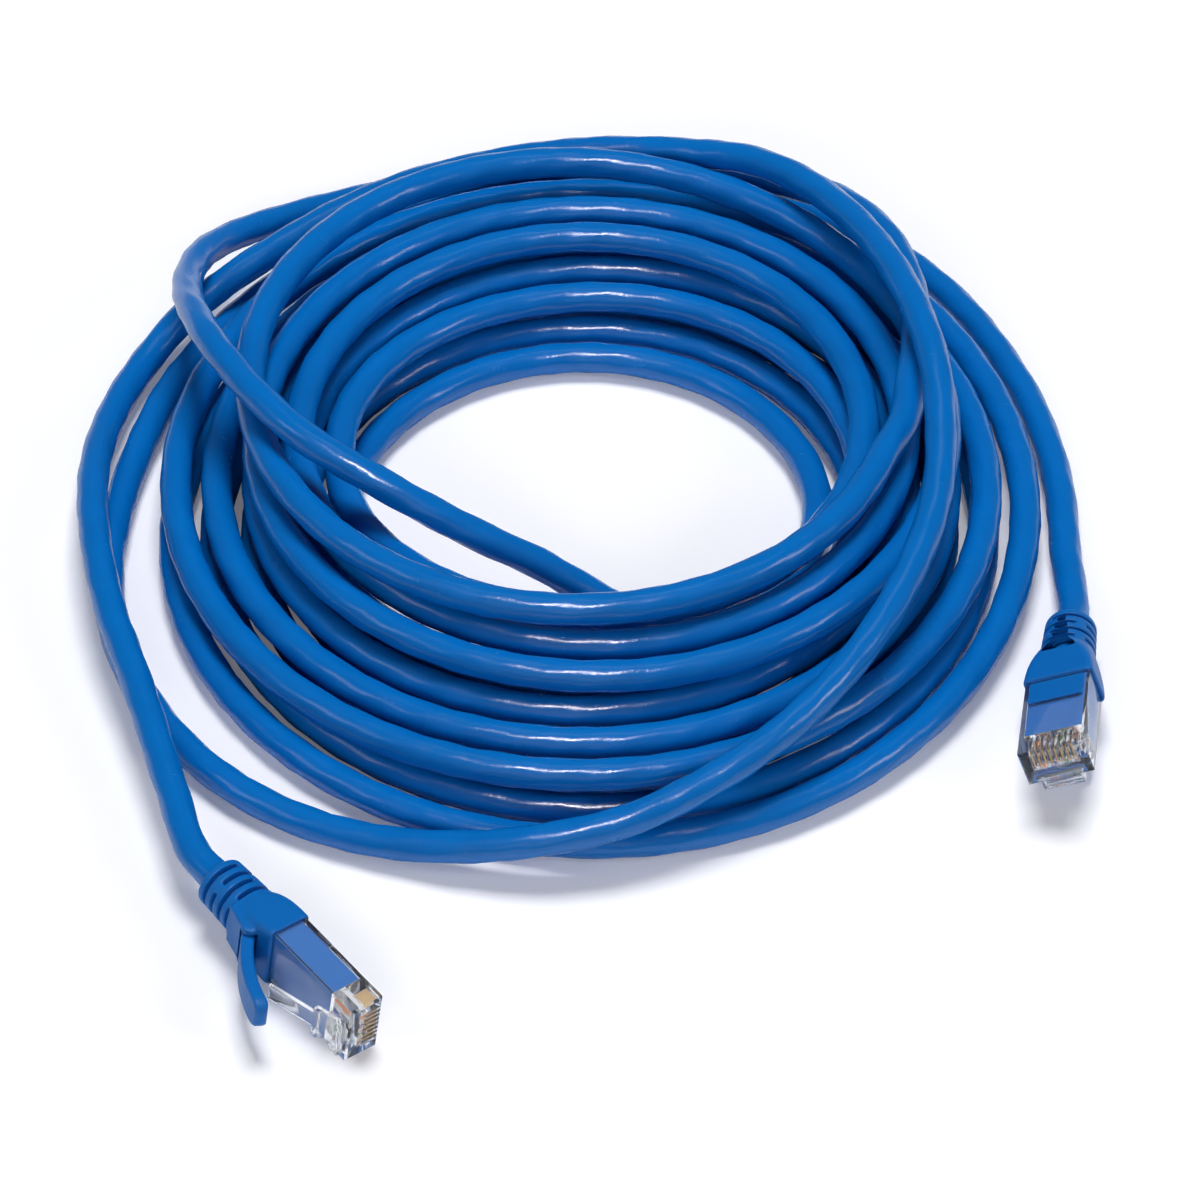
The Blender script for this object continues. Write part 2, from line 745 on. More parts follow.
@dataclass(frozen=True)
class Route:
    """Where the cord lies: from plug B under and into the coil, and out to plug A.

    Heights and distances are millimetres, and angles degrees, from the middle of the
    coil's hole. A stretch's points are (angle, distance from the middle, height).
    """

    cord_d: float = 6.0
    middle: Point = (1.72, 16.78, 0.0)
    coil_r: float = 40.8
    start_angle: float = 325.0
    lead_in: float = 6.0
    lead_in_turns: float = 0.15
    layer_gap: float = 0.5
    coil_shift: tuple[float, float] = (0.0, -5.0)
    layer_shift: tuple[float, float] = (0.2, 5.8)
    layer_turns: tuple[float, ...] = (5.1, 4.5, 2.75, 0.68)
    layer_step: tuple[float, ...] = (7.3, -7.3, 7.3, -15.2)
    turn_rings: int = 48
    to_plug_a: tuple[Point, ...] = (
        (10, 58.2, 22.8), (20, 62.8, 23.3), (30, 67.8, 23.5), (41, 73, 23.4), (52, 77.6, 20.8),
        (64, 81.6, 15.6), (76, 84.2, 11), (88, 84.8, 8.8), (99, 84.8, 7), (110, 84.2, 5),
        (121, 83.4, 3.7), (133, 82.8, 3), (146, 82.6, 3), (159, 82.8, 3), (170, 83.2, 3),
        (180, 84.6, 3), (190, 87, 3), (199, 89, 3), (208, 90.4, 3), (217, 91.4, 3),
        (228, 91.6, 3), (238, 90.4, 3), (247, 88.6, 3.6), (256, 87, 5.6), (265, 85.4, 8.2),
        (274, 82.8, 9.9), (283, 79.2, 12), (294, 75.4, 15), (304, 71.8, 17.2),
        (316, 68.2, 19.6), (328, 65.6, 21.8), (342, 63.6, 24.2), (356, 62, 27.2),
        (369, 61.8, 29.8), (381, 62.6, 30.2), (393, 65, 29.3), (404, 68.8, 27.4),
        (415, 73.6, 25), (426, 78.2, 22), (438, 81.2, 17.6), (450, 82.2, 15.4),
        (462, 82.2, 14.2), (474, 81.9, 13.9), (485, 81.9, 13.3), (493, 82.8, 12),
        (500, 84.6, 10.4), (507, 87.2, 8), (515, 89.5, 4.6), (526, 90, 4.6),
        (537, 89.4, 7.4), (549, 88.9, 9.7), (561, 90, 10), (571, 92.2, 9.8), (580, 97, 9),
        (586.5, 102.6, 8.3),
    )
    from_plug_b: tuple[Point, ...] = (
        (-9, 85.9, 3.2), (2, 84.9, 3), (14, 84.8, 3), (26, 85.4, 3), (38, 87, 3),
        (50, 88.4, 3), (62, 89.2, 3), (74, 90, 3), (86, 90.9, 3), (98, 91.8, 3),
        (109, 92.5, 3), (119, 93.2, 3.6), (128, 94, 5.8), (135.5, 93.6, 9.2),
        (142, 91.2, 13.3), (147.5, 87.5, 16.6), (153, 82.5, 20.4), (160, 75.7, 25.4),
        (168, 68.5, 28.9), (178, 59.8, 29.5), (190, 51, 28.5), (203, 41.3, 25.3),
        (217, 33.6, 20.5), (233, 28, 15.5), (249.5, 25.3, 11.6), (265, 25.8, 8.2),
        (281, 29.3, 5.2), (297, 34.6, 3.4),
    )

    def coil_point(self, t: float) -> Array:
        """The middle of the cord after t turns of the coil."""
        radius, begun, up = self.coil_r, 0.0, 0.0
        for turns, step in zip(self.layer_turns, self.layer_step, strict=True):
            up += ease((t - begun) * 2 + 0.5) if begun else 0.0
            radius += step * min(max(t - begun, 0.0), turns)
            begun += turns
        radius -= self.lead_in * max(1 - t / self.lead_in_turns, 0.0) ** 2
        angle = math.radians(self.start_angle + 360 * t)
        return np.array([
            radius * math.cos(angle) + self.coil_shift[0] + up * self.layer_shift[0],
            radius * math.sin(angle) + self.coil_shift[1] + up * self.layer_shift[1],
            self.cord_d / 2 + up * (self.cord_d + self.layer_gap),
        ])

    def stretch(self, points: Sequence[Point]) -> Array:
        """Turns points given by angle, distance and height into places."""
        angle, far, up = np.radians([p[0] for p in points]), *np.array(points).T[1:]
        return np.stack([far * np.cos(angle), far * np.sin(angle), up], axis=1)

    def line(self, entry_a: Matrix, entry_b: Matrix, step: float) -> Array:
        """The cord's centreline from plug B to plug A.

        Args:
            entry_a: Place of the cord's end in boot A, with the plug's nose along +X.
            entry_b: The same for boot B.
            step: Distance between samples, in millimetres.

        Returns:
            Points in the row's frame, in metres.
        """
        middle, d = np.array(self.middle), self.cord_d
        turns = sum(self.layer_turns)
        rings = round(turns * self.turn_rings)
        coil = np.array([self.coil_point(turns * i / rings) for i in range(rings + 1)]) + middle
        low_way = (coil[0] - coil[1]) / np.linalg.norm(coil[0] - coil[1])
        top_way = (coil[-1] - coil[-2]) / np.linalg.norm(coil[-1] - coil[-2])
        ends = [np.array(m.translation) / MM for m in (entry_b, entry_a)]
        backs = [-np.array(m.col[0].xyz) for m in (entry_b, entry_a)]
        points = np.concatenate([
            [ends[0], ends[0] + d * backs[0]],
            self.stretch(self.from_plug_b) + middle,
            [coil[0] + d * low_way],
            coil,
            [coil[-1] + d * top_way, coil[-1] + 2 * d * top_way],
            self.stretch(self.to_plug_a) + middle,
            [ends[1] + d * backs[1], ends[1]],
        ])
        return curve_through(points, step) * MM


@dataclass
class Cord:
    """The round jacketed cord as one unbroken tube along its route.

    Lengths are millimetres. The scales of wander and dents are per metre.
    """

    STRAIGHT = "straightened"

    route: Route
    ring_step: float = 2.0
    sides: int = 24
    lay_length: float = 38.0
    ridges: int = 4
    ridge_depth: float = 0.17
    wander_scale: float = 70.0
    wander_angle: float = 2.0
    dent_scale: float = 240.0
    dent_share: float = 1.2
    seed: float = 7.0
    dent_seed: float = 3.0

    def tree(self) -> Tree:
        """Geometry Nodes that sweep a circle along the cord and press in the pairs' ridges.

        Returns:
            The tree. It also stores each point's place on the cord pulled straight.
        """
        sheet = new_group(
            "GeometryNodeTree",
            "jacketed_cord",
            {
                "Geometry": "Geometry",
                "Diameter": "Float",
                "Sides": "Int",
                "Lay Length": "Float",
                "Ridges": "Int",
                "Ridge Depth": "Float",
                "Seed": "Float",
                "Jacket": "Material",
            },
            {"Geometry": "Geometry"},
        )
        given = sheet.add("NodeGroupInput").outputs
        radius = sheet.times(given["Diameter"], 0.5)
        spline = sheet.add("GeometryNodeSplineParameter").outputs
        circle = sheet.add("GeometryNodeCurvePrimitiveCircle", Resolution=given["Sides"], Radius=radius)
        captures = []
        for curve, value in (
            (given["Geometry"], spline["Length"]),
            (circle.outputs["Curve"], spline["Factor"]),
        ):
            capture = sheet.add("GeometryNodeCaptureAttribute", Geometry=curve)
            capture.capture_items.new("FLOAT", "Value")
            captures.append(sheet.feed(capture, Value=value).outputs)
        tube = sheet.add(
            "GeometryNodeCurveToMesh",
            Curve=captures[0]["Geometry"],
            Profile_Curve=captures[1]["Geometry"],
            Fill_Caps=True,
        ).outputs[0]
        along, round_it = (c["Value"] for c in captures)
        angle = sheet.times(round_it, math.tau)
        straight = sheet.add(
            "ShaderNodeCombineXYZ",
            X=sheet.times(sheet.math("COSINE", angle), radius),
            Y=sheet.times(sheet.math("SINE", angle), radius),
            Z=along,
        ).outputs[0]
        lay = sheet.times(sheet.math("DIVIDE", along, given["Lay Length"]), math.tau)
        wander = sheet.noise(straight, scale=self.wander_scale, detail=1.0, W=given["Seed"])
        phase = sheet.plus(angle, sheet.plus(lay, sheet.times(wander, self.wander_angle)))
        ridge = sheet.math("COSINE", sheet.times(phase, given["Ridges"]))
        other_seed = sheet.plus(given["Seed"], self.dent_seed)
        dents = sheet.noise(straight, scale=self.dent_scale, detail=1.0, W=other_seed)
        level = sheet.times(sheet.math("SUBTRACT", ridge, 1.0), 0.5)
        drop = sheet.plus(level, sheet.times(dents, -self.dent_share))
        offset = sheet.add(
            "ShaderNodeVectorMath",
            {"operation": "SCALE"},
            Vector=sheet.add("GeometryNodeInputNormal").outputs["Normal"],
            Scale=sheet.times(drop, given["Ridge Depth"]),
        ).outputs[0]
        stored = sheet.add(
            "GeometryNodeStoreNamedAttribute",
            {"data_type": "FLOAT_VECTOR", "domain": "POINT"},
            Geometry=tube,
            Name=self.STRAIGHT,
            Value=straight,
        ).outputs[0]
        moved = sheet.add("GeometryNodeSetPosition", Geometry=stored, Offset=offset).outputs[0]
        smooth = sheet.add("GeometryNodeSetShadeSmooth", Geometry=moved).outputs[0]
        sheet.finish_geometry(smooth, given["Jacket"])
        return sheet.tree

    def build(self, line: Array, jacket: Material) -> Piece:
        """Makes the cord.

        Args:
            line: Its centreline in the row's frame, in metres.
            jacket: Its material.

        Returns:
            The cord as one plain mesh.
        """
        curve = bpy.data.curves.new("cord_line", "CURVE")
        curve.dimensions = "3D"
        curve.twist_mode = "Z_UP"
        spline = curve.splines.new("POLY")
        spline.points.add(len(line) - 1)
        spline.points.foreach_set("co", np.c_[line, np.ones(len(line))].ravel())
        source = new_object("cord_line", curve)
        apply_tree(source, self.tree(), {
            "Diameter": self.route.cord_d * MM,
            "Sides": self.sides,
            "Lay Length": self.lay_length * MM,
            "Ridges": self.ridges,
            "Ridge Depth": self.ridge_depth * MM,
            "Seed": self.seed,
            "Jacket": jacket,
        })
        return settled_copy(source, "cord")


def apply_tree(piece: Piece, tree: Tree, values: dict[str, object]) -> None:
    """Puts a Geometry Nodes tree on a piece and sets its named inputs.

    Args:
        piece: The object to put it on.
        tree: The tree.
        values: A value for each input, by name.
    """
    modifier = piece.modifiers.new(tree.name, "NODES")
    modifier.node_group = tree
    for item in tree.interface.items_tree:
        if item.item_type == "SOCKET" and item.in_out == "INPUT" and item.name in values:
            modifier[item.identifier] = values[item.name]


# ---- plug ---------------------------------------------------------------------------


@dataclass(frozen=True)
class PlugSizes:
    """Sizes of a plug and its boot in millimetres, in the plug's own frame."""

    cord_d: float = 6.0
    plug_w: float = 11.68
    plug_h: float = 6.6
    plug_len: float = 22.0
    side_wall: float = 0.7
    face_wall: float = 0.6
    front_block: float = 5.6
    contact_pitch: float = 1.02
    contacts: int = 8
    blade_x: float = 0.5
    blade_t: float = 0.35
    blade_len: float = 3.5
    blade_depth: float = 0.5
    blade_edge: float = 0.05
    wire_z: float = 2.9
    wire_d: float = 0.96
    core_d: float = 0.52
    clamp_len: float = 3.2
    sleeve_wall: float = 0.45
    push_fit: float = 0.05
    swing_gap: float = 0.35
    boot_front: float = 20.8
    boot_len: float = 18.8
    boot_side: float = 0.5
    boot_face: float = 0.7
    body_len: float = 9.4
    tail_rear_r: float = 4.55
    tail_front_r: float = 4.9
    slots: int = 4
    slot_start: float = 1.3
    slot_pitch: float = 2.1
    slot_w: float = 0.85
    slot_depth: float = 1.25
    slot_bridge: float = 1.8
    pad_len: float = 6.6
    pad_h: float = 0.5
    pad_groove: float = 1.0
    guard_len: float = 15.4
    guard_w: float = 6.2
    guard_t: float = 2.3
    guard_rise: float = 29.0
    guard_bow: float = 1.1
    guard_tip_r: float = 2.4
    pin_r: float = 0.9
    hinge_back: float = 4.6
    hinge_out: float = 0.8
    cheek_w: float = 0.8
    edge_r: float = 0.35
    swell_early: float = 0.5
    swell_bend: float = 1.3
    block_corner: float = 1.1
    end_round: float = 0.5
    slot_round: float = 0.5
    slot_edge: float = 0.3
    cheek_wall: float = 0.25
    cheek_round: float = 0.6
    cheek_blend: float = 0.8
    wedge_len: float = 5.8
    wedge_top: float = 1.5
    wedge_knee: float = 3.4
    wedge_drop: float = 0.6
    wedge_sunk: float = 0.35
    wedge_round: float = 0.7
    sleeve_round: float = 0.2
    pad_inset: float = 0.3
    pad_round: float = 0.18
    groove_floor: float = 0.1
    groove_round: float = 0.15
    housing_seat: float = 0.6
    clamp_side: float = 0.6
    clamp_inset: float = 0.5
    slot_back: float = 0.6
    slot_under: float = 0.15
    slot_corner: float = 0.1
    small_gap: float = 0.02
    cut_edge: float = 0.05
    hollow_edge: float = 0.08
    beyond: float = 9.0
    @property
    def axis_z(self) -> float:
        """Height of the cord's axis over the latch face."""
        return self.plug_h / 2

    @property
    def cavity_w(self) -> float:
        """Width of the space inside the housing."""
        return self.plug_w - 2 * self.side_wall

    @property
    def cavity_h(self) -> float:
        """Height of the space inside the housing."""
        return self.plug_h - 2 * self.face_wall

    @property
    def rear(self) -> float:
        """Place along X of the boot's rear end."""
        return -self.boot_front - self.boot_len

    @property
    def bar_x(self) -> float:
        """Distance from the nose to the load bar's front."""
        return self.front_block + self.push_fit

    @property
    def clamp_x(self) -> float:
        """Distance from the nose to the clamp's front."""
        return self.boot_front - self.pad_len + self.clamp_inset

    @property
    def inner(self) -> tuple[float, float]:
        """Half of the width and of the height inside the boot's sleeve."""
        wall = self.sleeve_wall + self.push_fit
        return self.cavity_w / 2 - wall, self.cavity_h / 2 - wall

    @property
    def swing_half(self) -> float:
        """Half of the width of the gap that the guard swings in."""
        return self.guard_w / 2 + self.swing_gap

    @property
    def pin_half(self) -> float:
        """Half of the length of the guard's pin, which ends inside the cheeks."""
        return self.swing_half + 0.6 * self.cheek_w

    @property
    def hinge(self) -> tuple[float, float]:
        """Place of the guard's hinge in X and Z."""
        return -self.boot_front - self.hinge_back, -self.boot_face - self.hinge_out


@dataclass
class Plug:
    """One plug with its boot and guard, at its place in the row's frame."""

    end: End
    nose: Point
    turn: Point
    pressed: float
    origin: Point
    sizes: PlugSizes = field(default_factory=PlugSizes)
    cell: float = 0.17

    @property
    def tag(self) -> str:
        """The plug's letter in the names of nodes, bodies and pieces."""
        return self.end.value

    @property
    def place(self) -> Matrix:
        """The plug's frame in the row's frame, in metres."""
        where = (Vector(self.origin) + Vector(self.nose)) * MM
        turned = Euler([math.radians(a) for a in self.turn], "XYZ").to_matrix().to_4x4()
        return Matrix.Translation(where) @ turned

    @property
    def entry(self) -> Matrix:
        """Where the cord enters the boot, with the plug's nose along +X."""
        return self.place @ Matrix.Translation(Vector((self.sizes.rear, 0, self.sizes.axis_z)) * MM)

    def node(self, name: str) -> str:
        """Name of one of this plug's CAD nodes."""
        return f"plug_{self.tag}_{name}"

    def to_row(self, mesh: bpy.types.Mesh) -> None:
        """Moves a mesh in millimetres from the plug's frame to the row's frame."""
        mesh.transform(self.place @ Matrix.Scale(MM, 4))

    # -- boot --

    def body_field(self, p: Array) -> Array:
        """Round tail that swells into the rounded block behind the housing."""
        s = self.sizes
        slots_end = s.rear + s.slot_start + s.slots * s.slot_pitch - s.swell_early
        u = np.clip((p[..., 0] - slots_end) / s.body_len, 0, 1)
        swell = 1 - (1 - u) ** s.swell_bend
        tail = np.clip((p[..., 0] - s.rear) / (slots_end - s.rear), 0, 1)
        radius = s.tail_rear_r + (s.tail_front_r - s.tail_rear_r) * tail
        half_y = radius + (s.plug_w / 2 + s.boot_side - s.tail_front_r) * swell
        half_z = radius + (s.plug_h / 2 + s.boot_face - s.tail_front_r) * swell
        corner = radius + (s.block_corner - s.tail_front_r) * (1 - (1 - u) ** 3)
        across = rounded_rectangle(p[..., 1], p[..., 2] - s.axis_z, half_y, half_z, corner)
        middle = (s.rear - s.boot_front) / 2
        ends = np.abs(p[..., 0] - middle) - s.boot_len / 2
        return smooth_max(across, ends, s.end_round)

    def slots_field(self, p: Array) -> Array:
        """The C-shaped slots round the tail, each with two bridges."""
        s = self.sizes
        y, z = p[..., 1], p[..., 2] - s.axis_z
        best = np.full(y.shape, s.beyond)
        for i in range(s.slots):
            x = s.rear + s.slot_start + i * s.slot_pitch
            share = (x - s.rear) / (s.slot_start + s.slots * s.slot_pitch)
            floor = s.tail_rear_r + (s.tail_front_r - s.tail_rear_r) * share - s.slot_depth
            lean = math.radians(45 if i % 2 == 0 else 135)
            bridge = np.abs(y * math.cos(lean) + z * math.sin(lean)) - s.slot_bridge / 2
            width = np.abs(p[..., 0] - x - s.slot_w / 2) - s.slot_w / 2
            ring = np.maximum(width, floor - np.hypot(y, z))
            best = np.minimum(best, smooth_max(ring, -bridge, s.slot_round))
        return best

    def cheeks_field(self, p: Array) -> Array:
        """The raised wedge on the latch side that ends in two round cheeks."""
        s = self.sizes
        hx, hz = s.hinge
        cheek_r = s.pin_r + s.cheek_wall
        low = s.axis_z - s.tail_front_r + s.wedge_sunk
        back, front = hx - s.wedge_len, hx + cheek_r * 0.95
        outline = [
            (back, s.wedge_top), (back, low), (hx - s.wedge_knee, low - s.wedge_drop),
            (hx - cheek_r * 0.5, hz - cheek_r * 0.87), (front, hz), (front, s.wedge_top),
        ]
        half = s.swing_half + s.cheek_w
        side = outline_field(p[..., 0], p[..., 2], outline)
        wedge = smooth_max(side, np.abs(p[..., 1]) - half, s.wedge_round)
        cheeks = rod_y(p, hx, hz, cheek_r, half, s.cheek_round)
        return smooth_min(wedge, cheeks, s.cheek_blend)

    def sleeve_field(self, p: Array) -> Array:
        """The part of the boot that fills the housing, and the pad on its contact face."""
        s = self.sizes
        half_w, half_h = s.cavity_w / 2 - s.push_fit, s.cavity_h / 2 - s.push_fit
        front, rear, face = -s.boot_front, -s.boot_front - 1, s.plug_h
        pad_x, pad_z = (rear, front + s.pad_len), (face, face + s.pad_h)
        sleeve_z = (s.axis_z - half_h, s.axis_z + half_h)
        sleeve = box_field(p, (rear, -s.bar_x), half_w, sleeve_z, s.sleeve_round)
        pad = box_field(p, pad_x, s.cavity_w / 2 - s.pad_inset, pad_z, s.pad_round)
        groove_z = (face + s.groove_floor, face + s.beyond)
        groove = box_field(p, (front, front + s.pad_groove), s.plug_w, groove_z, s.groove_round)
        return np.minimum(sleeve, np.maximum(pad, -groove))

    def hollow_field(self, p: Array) -> Array:
        """What is cut from the boot: cord, housing walls, inside, clamp window, guard."""
        s = self.sizes
        hx, hz = s.hinge
        in_w, in_h = s.inner
        half = s.swing_half
        cord = rod_x(p, s.rear - 2, -s.plug_len, 0, s.axis_z, s.cord_d / 2 + s.small_gap)
        housing_x = (-s.plug_len, -s.boot_front + s.housing_seat)
        housing = box_field(p, housing_x, s.plug_w / 2, (0, s.plug_h))
        cavity_x = (-s.plug_len - s.beyond, s.beyond)
        cavity = box_field(p, cavity_x, s.cavity_w / 2, (s.face_wall, s.plug_h - s.face_wall))
        inside_z = (s.axis_z - in_h, s.axis_z + in_h)
        inside = box_field(p, (-s.plug_len, 1), in_w, inside_z, s.sleeve_round)
        window_x = (-s.clamp_x - s.clamp_len - s.push_fit, -s.clamp_x + s.push_fit)
        window_half = in_w - s.clamp_side + s.push_fit
        window = box_field(p, window_x, window_half, (s.axis_z, s.plug_h - s.small_gap))
        pin = rod_y(p, hx, hz, s.pin_r + s.push_fit, s.pin_half + s.push_fit, s.cut_edge)
        swing = rod_y(p, hx, hz, s.guard_t / 2 + s.swing_gap, half, s.cut_edge)
        slot_x, slot_z = (hx - s.slot_back, hx + 4), (hz - 4, -s.boot_face - s.slot_under)
        slot = box_field(p, slot_x, half, slot_z, s.slot_corner)
        walls = np.maximum(housing, -cavity)
        return np.minimum.reduce([cord, walls, inside, window, pin, swing, slot])

    def boot_field(self, p: Array) -> Array:
        """The whole boot."""
        s = self.sizes
        body = smooth_min(self.body_field(p), self.cheeks_field(p), s.cheek_blend)
        body = smooth_max(body, -self.slots_field(p), s.slot_edge)
        whole = np.minimum(body, self.sleeve_field(p))
        return smooth_max(whole, -self.hollow_field(p), s.hollow_edge)

    def build_boot(self) -> Piece:
        """Skins the boot, in a box with some room round it."""
        s = self.sizes
        room, hinge_room = 0.5, 2.5
        wide = s.plug_w / 2 + s.boot_side + room
        points, quads = skin(
            self.boot_field,
            (s.rear - room, -wide, s.hinge[1] - hinge_room),
            (-s.bar_x + room, wide, s.plug_h + s.boot_face + room),
            self.cell,
        )
        return self.piece(f"boot_{self.tag}", points, quads, "boot", "cable", BOOT)

    # -- guard --

    def guard_field(self, p: Array) -> Array:
        """The curved guard along +X from its hinge at the origin, with its pin."""
        s = self.sizes
        half = s.guard_t / 2
        x, z = p[..., 0], p[..., 2]
        best = np.full(x.shape, np.inf)
        t = np.linspace(0, 1, 25)
        middle = np.stack([t * s.guard_len, -4 * s.guard_bow * t * (1 - t)], axis=1)
        for start, end in zip(middle[:-1], middle[1:], strict=True):
            best = np.minimum(best, np.hypot(*from_segment(x, z, start, end)))
        over = np.maximum(x - (s.guard_len + half - s.guard_tip_r), 0)
        narrow = s.guard_tip_r - np.sqrt(np.maximum(s.guard_tip_r**2 - over**2, 0.01))
        sides = np.abs(p[..., 1]) - (s.guard_w / 2 - narrow)
        plate = smooth_max(best - half, sides, 2 * s.edge_r)
        return np.minimum(plate, rod_y(p, 0, 0, s.pin_r, s.pin_half, 2 * s.cut_edge))

    def build_guard(self) -> Piece:
        """Skins the guard, in a box with some room round it, and turns it to its angle."""
        s = self.sizes
        room, side_room = 0.6, 0.4
        half = s.swing_half + s.cheek_w + side_room
        points, quads = skin(
            self.guard_field,
            (-s.guard_t, -half, -s.guard_t / 2 - s.guard_bow - room),
            (s.guard_len + s.guard_t, half, s.guard_t / 2 + room),
            self.cell,
        )
        lean = Matrix.Rotation(math.radians(s.guard_rise - self.pressed), 3, "Y")
        points = points @ np.array(lean).T + np.array([s.hinge[0], 0, s.hinge[1]])
        name = f"latch_guard_{self.tag}"
        return self.piece(name, points, quads, "latch_guard", f"guard_{self.tag}", BOOT)

    def piece(
        self, name: str, points: Array, faces: Array, node: str, body: str, finish: Finish
    ) -> Piece:
        """Makes a piece that stands for one of this plug's CAD nodes.

        Args:
            name: Name of the piece.
            points: Its corners in the plug's frame, in millimetres.
            faces: Its faces.
            node: The node that it stands for, without the plug's prefix.
            body: The body that it rides on.
            finish: Its finish.

        Returns:
            The piece.
        """
        mesh = mesh_from(name, points, faces)
        self.to_row(mesh)
        made = new_object(name, mesh)
        return self.settle_in(made, node, body, finish)

    def settle_in(self, made: Piece, node: str, body: str, finish: Finish) -> Piece:
        """Gives a finished piece its finish, its body and the node that it stands for."""
        made.data.materials.clear()
        made.data.materials.append(finished(finish))
        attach(made, body)
        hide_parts(self.node(node))
        return made

    # -- clear pieces --

    def build_clear(self, node: str, name: str, body: str) -> Piece:
        """Copies a clear CAD node with small rounds on its edges.

        Args:
            node: The node, without the plug's prefix.
            name: Name of the piece.
            body: The body that it rides on.

        Returns:
            The piece.
        """
        weld, flat, edge, sharp = 0.002, 0.5, 0.09, 40
        source = bpy.data.objects[self.node(node)]
        made = new_object(f"{name}_{self.tag}", source.data.copy())
        edit = bmesh.new()
        edit.from_mesh(made.data)
        bmesh.ops.remove_doubles(edit, verts=edit.verts, dist=weld * MM)
        bmesh.ops.dissolve_limit(
            edit, angle_limit=math.radians(flat), verts=edit.verts, edges=edit.edges
        )
        edit.to_mesh(made.data)
        edit.free()
        made.data.shade_smooth()
        bevel = made.modifiers.new("edges", "BEVEL")
        bevel.width = edge * MM
        bevel.segments = 2
        bevel.limit_method = "ANGLE"
        bevel.angle_limit = math.radians(sharp)
        bevel.harden_normals = True
        made = settled_copy(made, made.name)
        return self.settle_in(made, node, body, CLEAR)

    # -- contacts --

    def blade(self) -> bpy.types.Mesh:
        """One blade in the plug's frame: bevelled plate with two teeth.

        Returns:
            The blade on Y = 0, in millimetres.
        """
        s = self.sizes
        over_wire, round_r, flat = 0.1, 0.5, 0.01
        top = s.plug_h - s.blade_depth
        mid = s.wire_z + s.wire_d / 2 + over_wire
        low = s.wire_z + s.core_d / 2
        tooth, long = s.blade_len / 5, s.blade_len
        round_end = [
            (long - round_r + round_r * math.sin(a), top - round_r + round_r * math.cos(a))
            for a in np.linspace(math.pi / 2, 0, 6)
        ]
        outline = [
            (0, top), (0, mid), (tooth / 2, mid), (tooth, low), (1.5 * tooth, mid),
            (2.5 * tooth, mid), (3 * tooth, low), (3.5 * tooth, mid), (long, mid), *round_end,
        ]
        edit = bmesh.new()
        corners = [
            edit.verts.new((x - s.blade_x - long, -s.blade_t / 2, z)) for x, z in outline
        ]
        face = edit.faces.new(corners)
        grown = bmesh.ops.extrude_face_region(edit, geom=[face])["geom"]
        moved = [g for g in grown if isinstance(g, bmesh.types.BMVert)]
        bmesh.ops.translate(edit, verts=moved, vec=(0, s.blade_t, 0))
        bmesh.ops.recalc_face_normals(edit, faces=edit.faces)
        rims = [e for e in edit.edges if abs(e.verts[0].co.y - e.verts[1].co.y) < flat]
        bmesh.ops.bevel(edit, geom=rims, offset=s.blade_edge, segments=2, affect="EDGES", profile=0.5)
        mesh = bpy.data.meshes.new("blade")
        edit.to_mesh(mesh)
        edit.free()
        return mesh

    def row_tree(self) -> Tree:
        """Geometry Nodes that repeat a piece in a row across the plug, made once."""
        found = bpy.data.node_groups.get(ROW)
        if found:
            return found
        sheet = new_group(
            "GeometryNodeTree",
            ROW,
            {"Geometry": "Geometry", "Count": "Int", "Pitch": "Float", "Plating": "Material"},
            {"Geometry": "Geometry"},
        )
        given = sheet.add("NodeGroupInput").outputs
        gaps = sheet.math("SUBTRACT", given["Count"], 1.0)
        first = sheet.times(sheet.times(gaps, given["Pitch"]), -0.5)
        line = sheet.add(
            "GeometryNodeMeshLine",
            {"mode": "OFFSET"},
            Count=given["Count"],
            Start_Location=sheet.add("ShaderNodeCombineXYZ", Y=first).outputs[0],
            Offset=sheet.add("ShaderNodeCombineXYZ", Y=given["Pitch"]).outputs[0],
        ).outputs[0]
        row = sheet.add("GeometryNodeInstanceOnPoints", Points=line, Instance=given["Geometry"])
        sheet.finish_geometry(row.outputs[0], given["Plating"])
        return sheet.tree

    def build_contacts(self) -> Piece:
        """Makes the row of eight blades."""
        s = self.sizes
        source = new_object("blade_source", self.blade())
        apply_tree(source, self.row_tree(), {
            "Count": s.contacts, "Pitch": s.contact_pitch, "Plating": finished(GOLD),
        })
        made = settled_copy(source, f"contact_blades_{self.tag}")
        self.to_row(made.data)
        return self.settle_in(made, "contacts", "cable", GOLD)

    # -- everything --

    def dress_nodes(self) -> list[Piece]:
        """Gives the CAD nodes that stay their finishes.

        Returns:
            Those nodes.
        """
        finishes: dict[str, Finish] = {
            "load_bar": MILKY,
            "cable_clamp": CLEAR,
            "jacket_end": STUB,
            "copper_cores": COPPER,
            "separator": SEPARATOR,
        }
        for pair in Pair:
            name = pair.name.lower()
            finishes[f"pair_{name}"] = Insulation(
                f"wire_{name}_{self.tag}", f"wire_{name}", pair.value, 0.4, place=self.place
            )
        nodes = []
        for name, finish in finishes.items():
            node = bpy.data.objects[self.node(name)]
            for slot in node.material_slots:
                slot.material = finished(finish)
            nodes.append(node)
        return nodes

    def build(self) -> list[Piece]:
        """Builds and dresses the plug.

        Returns:
            Every piece and CAD node that belongs to it.
        """
        nodes = self.dress_nodes()
        made = [
            self.build_boot(),
            self.build_guard(),
            self.build_clear("housing", "housing", "cable"),
            self.build_clear("latch", "latch_lever", f"latch_{self.tag}"),
            self.build_contacts(),
        ]
        for piece in made:
            LOG.info("%s: %d faces", piece.name, len(piece.data.polygons))
        return made + nodes


def finished(finish: Finish) -> Material:
    """The finish's material, made the first time it is asked for."""
    return bpy.data.materials.get(finish.name) or finish.material()


# ---- studio -------------------------------------------------------------------------


